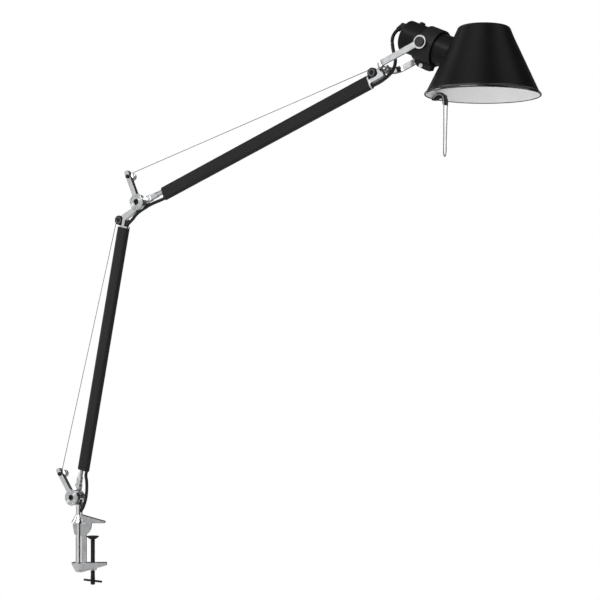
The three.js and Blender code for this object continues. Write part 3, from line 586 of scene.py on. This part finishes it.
# ---------- what both arms have ----------
def tube_section(inset):
    radius = TUBE_THICK / 2 - inset
    reach = (TUBE_WIDTH - TUBE_THICK) / 2
    points = []
    for centre, start in ((reach, 0.0), (-reach, math.pi)):
        for i in range(TUBE_ROUND_STEPS + 1):
            angle = start + math.pi * i / TUBE_ROUND_STEPS
            points.append((radius * math.cos(angle), TUBE_Z + centre + radius * math.sin(angle)))
    return points


def arm_tube(name, matrix, material):
    """A flat-oval tube with its end edges rounded off."""
    outer, edge, inner = tube_section(0), tube_section(TUBE_EDGE_INSET), tube_section(TUBE_WALL)
    loops = [[(x, y, z) for y, z in section] for section, x in (
        (outer, TUBE_START + TUBE_EDGE), (outer, TUBE_END - TUBE_EDGE), (edge, TUBE_END),
        (inner, TUBE_END), (inner, TUBE_START), (edge, TUBE_START))]
    count = len(outer)
    faces = []
    for i in range(len(loops)):
        a, b = i * count, (i + 1) % len(loops) * count
        for j in range(count):
            k = (j + 1) % count
            faces.append((a + j, a + k, b + k, b + j))
    tube = mesh_object(f"{name}_tube_shown", [p for loop in loops for p in loop], faces, matrix)
    keep_flat(tube)
    stand_for(tube, f"{name}_tube", material)


def pulley_rib(name, matrix):
    """The raised ring on the pulley's front face."""
    front = -PULLEY_HALF
    rib = [(3.9, front + 0.2), (3.9, front), (4.3, front - 0.2), (5.6, front - 0.2), (6.0, front),
           (6.0, front + 0.2)]
    at_axle = matrix @ Matrix.Translation((PULLEY[0], 0, PULLEY[1]))
    face = mesh_object(f"{name}_pulley_rib", *lathe(rib, 40, "Y"), at_axle)
    soften(face, 0.05, 30)
    stand_for(face, f"{name}_pulley", "pulley_face")


def arm(name, matrix, material):
    arm_tube(name, matrix, material)
    refined(f"{name}_foot_plug", 0.2)
    refined(f"{name}_foot", 0.5)
    refined(f"{name}_end_fitting", 0.4)
    refined(f"{name}_pulley", 0.3)
    pulley_rib(name, matrix)
    refined(f"{name}_pulley_axle", 0.2)
    # these stay as the CAD has them, with a better material
    for node in (f"{name}_spring", f"{name}_inner_wire", f"{name}_cable"):
        coat(NODES[node], SLOT_OF[node])


def wire(name, matrix, tip):
    """The straight run from the drum to the pulley has a ring at each end only, so it stays straight."""
    px, pz = PULLEY
    tx, tz = tip
    # the run touches the drum and the pulley on the same side
    slope = math.atan2(pz - tz, px - tx)
    lean = math.asin((WIRE_TURN_R - DRUM_R) / math.hypot(px - tx, pz - tz))
    nx, nz = -math.sin(slope + lean), math.cos(slope + lean)
    drum = (tx + nx * DRUM_R, 0, tz + nz * DRUM_R)
    pulley = (px + nx * WIRE_TURN_R, 0, pz + nz * WIRE_TURN_R)
    obj = mesh_object(f"{name}_shown", *sweep([drum, pulley], WIRE_R, 12), matrix)
    stand_for(obj, name, "spring_steel", bends=True)
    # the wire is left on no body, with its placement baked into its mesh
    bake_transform(obj)


def lever_tip(angle):
    return LEVER * math.cos(math.radians(angle)), LEVER * math.sin(math.radians(angle))


# ---------- head ----------
def head_pieces():
    refined("head_fork", 0.5)
    refined("fork_screw", 0.2)
    refined("head_ring", 0.5)
    refined("head_pin_front", 0.5, "grained_knob")
    refined("head_pin_rear", 0.5, "grained_knob")
    refined("ring_screw", 0.2)
    refined("cable_gland", 0.5)
    refined("switch_button", 0.5)
    refined("lamp_socket", 0.4)
    refined("handle_clip", 0.5)
    refined("head_rear_cap", 0.6)
    refined("head_housing", 0.3)
    refined("bulb", 0.3)


def shade_profile():
    """The outside from the rolled rim up the cone and over the crown to the axis, and the cone's index."""
    bead = [(RIM_R - 1.4, 0), (RIM_R - 0.5, 0.2), (RIM_R, 1.0), (RIM_R, 2.2), (RIM_R - 0.4, 3.2),
            (RIM_R - 1.4, 4.2), (RIM_R - 2.8, 5.2)]
    cone_r = RIM_R - 3.7
    cone_height = SHADE_HEIGHT - 6 - CONE_START
    cone = [(cone_r - (cone_r - SHADE_TOP_R) * i / CONE_STEPS, CONE_START + cone_height * i / CONE_STEPS)
            for i in range(CONE_STEPS)]
    slope = math.atan2(RIM_R - SHADE_TOP_R, SHADE_HEIGHT - 6)
    centre = (SHADE_TOP_R - 6.9, SHADE_HEIGHT - CROWN_R)
    crown = []
    for i in range(8):
        angle = slope + (math.pi / 2 - slope) * i / 7
        crown.append((centre[0] + CROWN_R * math.cos(angle), centre[1] + CROWN_R * math.sin(angle)))
    top = [(16, SHADE_HEIGHT + 0.3), (0, SHADE_HEIGHT + 0.5)]
    return bead + cone + crown + top, len(bead)


def inset(profile, amount):
    """The profile moved inwards, square to itself."""
    moved = []
    for i, (r, z) in enumerate(profile):
        before, after = profile[max(i - 1, 0)], profile[min(i + 1, len(profile) - 1)]
        run = Vector((after[0] - before[0], after[1] - before[1])).normalized()
        moved.append((max(r - run.y * amount, 0), z + run.x * amount))
    return moved


def shade():
    """The black shell and its white lining, with a hole at the side for the housing."""
    outer, cone = shade_profile()

    def inner(amount):
        top = (0, outer[-1][1] - amount)
        return [(RIM_R - 1.3 - amount, 1.2), *inset(outer[cone:], amount)[:-1], top]

    lining_out = SHADE_WALL + LINING_GAP
    lining_in = lining_out + LINING_THICK
    shell = outer + inner(SHADE_WALL)[::-1] + [(RIM_R - 2.1, 0.3)]
    lining = inner(lining_out) + inner(lining_in)[::-1]
    low, high = HOUSING_CUT
    hole = [(0, low), (HOUSING_R + HOUSING_GAP, low), (HOUSING_R + HOUSING_GAP, high), (0, high)]
    for name, profile, material in (
        ("shade_shell", shell, "black_paint"),
        ("shade_lining", lining, "white_lining"),
    ):
        obj = mesh_object(name, *lathe(profile, 128), SHADE)
        cut(obj, mesh_object("hole", *lathe(hole, 64, "X"), HEAD))
        obj.data.polygons.foreach_set("use_smooth", [True] * len(obj.data.polygons))
        soften(obj, 0.12, 40)
        stand_for(obj, "shade", material)
        if name == "shade_shell":
            # the rolled rim is glossier than the cone
            obj.data.materials.append(MATERIALS["rim_bead"])
            for face in obj.data.polygons:
                if (SHADE.inverted() @ face.center).z < BEAD_TOP:
                    face.material_index = 1


def handle():
    def leg(side):
        return [(HANDLE_X - 17.6, side * 5.7, 1.6), (HANDLE_X - 14.5, side * 5.8, 4.2),
                (HANDLE_X - 9, side * 5.9, 5.8), (HANDLE_X - 3, side * 5.9, 3.4),
                (HANDLE_X - 0.4, side * 5.9, -4), (HANDLE_X, side * 5.6, -20),
                (HANDLE_X + 0.2, side * 4.2, -60), (HANDLE_X + 0.3, side * 3.4, HANDLE_TIP_Z + 5)]

    points = [*leg(-1), (HANDLE_X + 0.3, 0, HANDLE_TIP_Z + 1), *reversed(leg(1))]
    obj = mesh_object("handle_wire_shown", *sweep(catmull(points, 120), HANDLE_R, 12), SHADE)
    stand_for(obj, "handle_wire", "chromed_wire")


# ---------- cable across the joints ----------
def cable_across(name, points):
    """A cable swept along a smooth path through the given points, left on no body with its placement baked
    in.
    """
    path = catmull([(x, 0, z) for x, z in points], CABLE_STEPS)
    obj = mesh_object(f"{name}_shown", *sweep(path, CABLE_R, 16), STAND)
    soften(obj, 0.3, 50)
    apply_modifiers(obj)
    stand_for(obj, name, bends=True)
    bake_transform(obj)


def cables():
    """The routes are (x, z) points in the arms' plane."""
    lower_end = [in_stand(LOWER, TUBE_END + 1.3, CABLE_Z), in_stand(LOWER, TUBE_END + 6, CABLE_Z)]
    lower_start = [in_stand(LOWER, TUBE_START + 0.7, CABLE_Z), in_stand(LOWER, TUBE_START - 8, CABLE_Z)]
    upper_end = [in_stand(UPPER, TUBE_END + 1.3, CABLE_Z), in_stand(UPPER, TUBE_END + 9, CABLE_Z - 0.4)]
    upper_start = [in_stand(UPPER, TUBE_START - 6, CABLE_Z), in_stand(UPPER, TUBE_START + 0.7, CABLE_Z)]
    gland = [in_stand(HEAD, -65, 4), in_stand(HEAD, -62.5, 7.1)]
    cable_across("cable_base_loop", [*lower_start, (-14.6, 76), (-14.4, 60.2), (-16.4, 45.7), (-19.9, 34.8),
                                     (-24.6, 25.8), (-27.4, 22.6)])
    cable_across("cable_elbow_loop", [*lower_end, (90.8, 542.2), (99.7, 550.7), (114.6, 559), (131.5, 566.2),
                                      *upper_start])
    # this one turns later, which keeps it thicker when the head tilts up; later still, it cuts into the gland
    cable_across("cable_head_loop", [*upper_end, (593.5, 738.2), (604, 743.8), (613.6, 750.8), (619.8, 759.4),
                                     (621.9, 769), (620.4, 779), (617.8, 788), (616.3, 797.9)])
    cable_across("cable_head_tail", [(616, 798.8), (616.4, 804), (618.3, 810), (622.4, 815.2), *gland])


# ---------- camera, lights and surroundings ----------
def camera():
    data = bpy.data.cameras.new("camera")
    data.sensor_width = 36
    data.lens = CAMERA_LENS
    data.shift_y = CAMERA_SHIFT_Y
    data.clip_end = 50
    obj = bpy.data.objects.new("camera", data)
    bpy.context.scene.collection.objects.link(obj)
    look = Vector((-math.sin(CAMERA_AZIMUTH), math.cos(CAMERA_AZIMUTH), 0))
    obj.location = CAMERA_PLACE
    obj.rotation_mode = "QUATERNION"
    obj.rotation_quaternion = look.to_track_quat("-Z", "Y")
    bpy.context.scene.camera = obj


def area_light(name, place_at, target, size, power):
    data = bpy.data.lights.new(name, "AREA")
    data.shape = "RECTANGLE"
    data.size, data.size_y = size
    data.energy = power
    obj = bpy.data.objects.new(name, data)
    bpy.context.scene.collection.objects.link(obj)
    obj.location = place_at
    obj.rotation_mode = "QUATERNION"
    obj.rotation_quaternion = (Vector(target) - Vector(place_at)).to_track_quat("-Z", "Y")
    return obj


# grey levels of the surroundings at fractions of a full turn, and from straight down to straight up
AROUND = [(0.0, 1.0), (0.03, 1.0), (0.05, 0.05), (0.08, 0.05), (0.11, 0.6), (0.15, 0.66), (0.165, 0.95),
          (0.20, 0.95), (0.21, 0.6), (0.22, 0.9), (0.25, 0.75), (0.29, 1.0), (0.305, 0.48), (0.335, 0.48),
          (0.345, 0.04), (0.46, 0.04), (0.475, 1.0), (0.59, 1.0), (0.62, 0.06), (0.70, 0.06), (0.74, 0.4),
          (0.78, 0.3), (0.81, 0.05), (0.86, 0.05), (0.89, 0.9), (0.92, 0.9), (0.935, 0.05), (0.96, 0.05),
          (0.975, 1.0), (1.0, 1.0)]
UPWARD = [(0.0, 0.35), (0.36, 0.6), (0.42, 1.0), (0.6, 1.0), (0.66, 0.25), (0.72, 0.15), (0.80, 0.8),
          (0.9, 1.0), (1.0, 0.7)]


def surroundings():
    """White with dark bands that light and reflect in the lamp. The camera sees plain white instead."""
    world = bpy.data.worlds.new("studio")
    bpy.context.scene.world = world
    world.use_nodes = True
    tree = world.node_tree
    tree.nodes.clear()
    make, link = tree.nodes.new, tree.links.new

    def ramp(value, stops):
        node = make("ShaderNodeValToRGB")
        elements = node.color_ramp.elements
        elements[1].position = 1
        for position, level in stops:
            at_end = {0.0: elements[0], 1.0: elements[-1]}.get(position)
            element = at_end or elements.new(position)
            element.color = (level, level, level, 1)
        link(value, node.inputs["Fac"])
        return node.outputs["Color"]

    def fraction(value, low, high):
        node = make("ShaderNodeMapRange")
        node.inputs["From Min"].default_value = low
        node.inputs["From Max"].default_value = high
        link(value, node.inputs["Value"])
        return node.outputs["Result"]

    direction = make("ShaderNodeSeparateXYZ")
    link(make("ShaderNodeTexCoord").outputs["Generated"], direction.inputs[0])
    heading = make("ShaderNodeMath")
    heading.operation = "ARCTAN2"
    link(direction.outputs["Y"], heading.inputs[0])
    link(direction.outputs["X"], heading.inputs[1])
    around = ramp(fraction(heading.outputs[0], -math.pi, math.pi), AROUND)
    upward = ramp(fraction(direction.outputs["Z"], -1, 1), UPWARD)

    product = make("ShaderNodeMix")
    product.data_type = "RGBA"
    product.blend_type = "MULTIPLY"
    factor, first, second, mixed = 0, 6, 7, 2
    product.inputs[factor].default_value = 1
    link(around, product.inputs[first])
    link(upward, product.inputs[second])
    lighting = make("ShaderNodeBackground")
    link(product.outputs[mixed], lighting.inputs["Color"])
    seen = make("ShaderNodeBackground")
    seen.inputs["Color"].default_value = (1, 1, 1, 1)
    choice = make("ShaderNodeMixShader")
    link(make("ShaderNodeLightPath").outputs["Is Camera Ray"], choice.inputs[0])
    link(lighting.outputs[0], choice.inputs[1])
    link(seen.outputs[0], choice.inputs[2])
    link(choice.outputs[0], make("ShaderNodeOutputWorld").inputs["Surface"])


def floor():
    mesh = bpy.data.meshes.new("floor")
    mesh.from_pydata(ring([FLOOR_R] * FLOOR_SIDES, FLOOR_Z), [], [tuple(range(FLOOR_SIDES))])
    obj = bpy.data.objects.new("floor", mesh)
    bpy.context.scene.collection.objects.link(obj)
    pale = Surface("pale_floor", (0.95, 0.95, 0.95), 0.7)
    pale.vary_gloss(pale.noise(3), 0.6, 0.8)
    mesh.materials.append(pale.material)


def studio():
    surroundings()
    area_light("key", (0.6, -2.4, 2.2), (0.35, 0, 0.45), (1.6, 1.2), 32)
    area_light("left", (-2.2, -1.0, 0.9), (0.2, 0, 0.4), (0.8, 1.8), 16)
    # this one brightens what faces down, and isn't seen in the polished jaws
    below = area_light("below", (0.9, -0.7, -0.4), (0.78, 0, 0.75), (0.8, 0.8), 8)
    below.visible_glossy = False
    floor()


camera()
studio()
clamp()
refined("swivel_post", 0.4)
joint("shoulder", AT_SHOULDER)
joint("elbow", AT_ELBOW)
arm("lower", LOWER, "anodised_lower")
arm("upper", UPPER, "anodised_upper")
wire("lower_tension_wire", LOWER, lever_tip(SHOULDER_LEVER_ANGLE - LOWER_ANGLE))
wire("upper_tension_wire", UPPER, lever_tip(LOWER_ANGLE + ELBOW_LEVER_ANGLE - UPPER_ANGLE))
head_pieces()
shade()
handle()
cables()

bpy.context.scene.view_settings.view_transform = "Standard"
